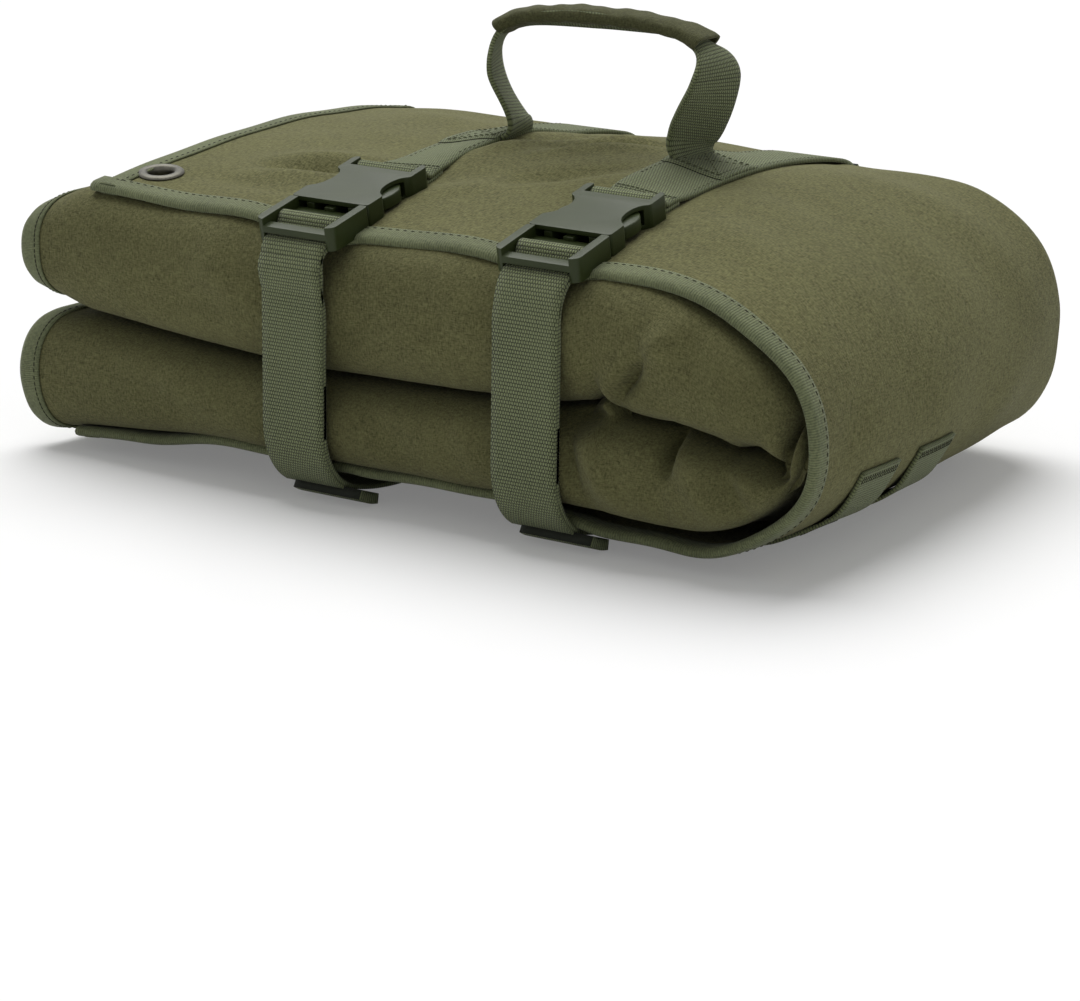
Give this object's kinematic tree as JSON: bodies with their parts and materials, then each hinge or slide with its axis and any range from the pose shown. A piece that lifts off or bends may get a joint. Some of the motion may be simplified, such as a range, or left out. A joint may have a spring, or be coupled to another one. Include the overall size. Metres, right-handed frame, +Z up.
{
  "type": "folded ground mat bundle",
  "caption": "Padded canvas ground mat folded into two stacked rolls under a wrap-round flap, held by webbing straps with side-release buckles, with a carry handle on top.",
  "frame": {"origin": "centre of the bundle in plan, on the surface that it lies on", "axes": "+X from the open left end to the folded spine, +Y from the buckled front to the back, +Z up"},
  "size_m": [0.3206, 0.2234, 0.1655],
  "materials": {
    "canvas": "coated olive-green woven canvas",
    "binding_tape": "lighter olive grosgrain tape with a stitch line",
    "webbing": "olive flat-woven webbing",
    "foam": "closed-cell foam, hidden inside the panels",
    "buckle_plastic": "moulded dark olive plastic",
    "eyelet_metal": "nickel-plated rolled eyelet"
  },
  "bodies": {
    "root": {"cover_flap": "canvas", "cover_binding": "binding_tape", "panel_a_upper": "canvas", "panel_a_lower": "canvas", "foam_a_upper": "foam", "foam_a_lower": "foam", "centre_panel_upper": "canvas", "centre_panel_lower": "canvas", "panel_b_upper": "canvas", "panel_b_lower": "canvas", "foam_b_upper": "foam", "foam_b_lower": "foam", "end_flap_upper": "canvas", "end_flap_lower": "canvas", "spine_fold": "canvas", "roll_binding_upper": "binding_tape", "roll_binding_lower": "binding_tape", "anchor_strap_left": "webbing", "anchor_strap_right": "webbing", "strap_left": "webbing", "strap_right": "webbing", "strap_tail_left": "webbing", "strap_tail_right": "webbing", "female_buckle_left": "buckle_plastic", "female_buckle_right": "buckle_plastic", "handle_feet_tabs": "webbing", "eyelets": "eyelet_metal", "eyelet_washers": "eyelet_metal", "loop_strip_spine_1": "webbing", "loop_strip_spine_2": "webbing", "loop_strip_base_1": "webbing", "loop_strip_base_2": "webbing"},
    "handle": {"handle_leg_left": "webbing", "handle_leg_right": "webbing", "handle_grip": "webbing", "handle_sleeve": "canvas"},
    "plug_left": {"male_buckle_left": "buckle_plastic", "strap_end_left": "webbing"},
    "plug_right": {"male_buckle_right": "buckle_plastic", "strap_end_right": "webbing"},
    "prong_left_l": {"prong_left_l": "buckle_plastic"},
    "prong_left_r": {"prong_left_r": "buckle_plastic"},
    "prong_right_l": {"prong_right_l": "buckle_plastic"},
    "prong_right_r": {"prong_right_r": "buckle_plastic"}
  },
  "joints": [
    {"name": "handle_swing", "type": "hinge", "parent": "root", "child": "handle", "pos_m": [0.011, 0.00585, 0.11489], "axis": [1, 0, 0], "range_deg": [-70, 70], "deforming": ["handle_leg_left", "handle_leg_right"]},
    {"name": "left_plug_release", "type": "slide", "parent": "root", "child": "plug_left", "axis": [0, -0.9781, -0.2079], "range_m": [0, 0.032], "deforming": ["strap_end_left", "prong_left_l", "prong_left_r"]},
    {"name": "right_plug_release", "type": "slide", "parent": "root", "child": "plug_right", "axis": [0, -0.9781, -0.2079], "range_m": [0, 0.032], "deforming": ["strap_end_right", "prong_right_l", "prong_right_r"]},
    {"name": "left_prong_l_squeeze", "type": "hinge", "parent": "plug_left", "child": "prong_left_l", "pos_m": [-0.0477, -0.08766, 0.10172], "axis": [0, 0.2079, -0.9781], "range_deg": [0, 9]},
    {"name": "left_prong_r_squeeze", "type": "hinge", "parent": "plug_left", "child": "prong_left_r", "pos_m": [-0.0303, -0.08766, 0.10172], "axis": [0, -0.2079, 0.9781], "range_deg": [0, 9]},
    {"name": "right_prong_l_squeeze", "type": "hinge", "parent": "plug_right", "child": "prong_right_l", "pos_m": [0.0463, -0.08326, 0.10265], "axis": [0, 0.2079, -0.9781], "range_deg": [0, 9]},
    {"name": "right_prong_r_squeeze", "type": "hinge", "parent": "plug_right", "child": "prong_right_r", "pos_m": [0.0637, -0.08326, 0.10265], "axis": [0, -0.2079, 0.9781], "range_deg": [0, 9]}
  ],
  "couplings": [
    {"joint": "left_prong_l_squeeze", "follows": "left_prong_r_squeeze", "ratio": 1},
    {"joint": "right_prong_l_squeeze", "follows": "right_prong_r_squeeze", "ratio": 1}
  ]
}
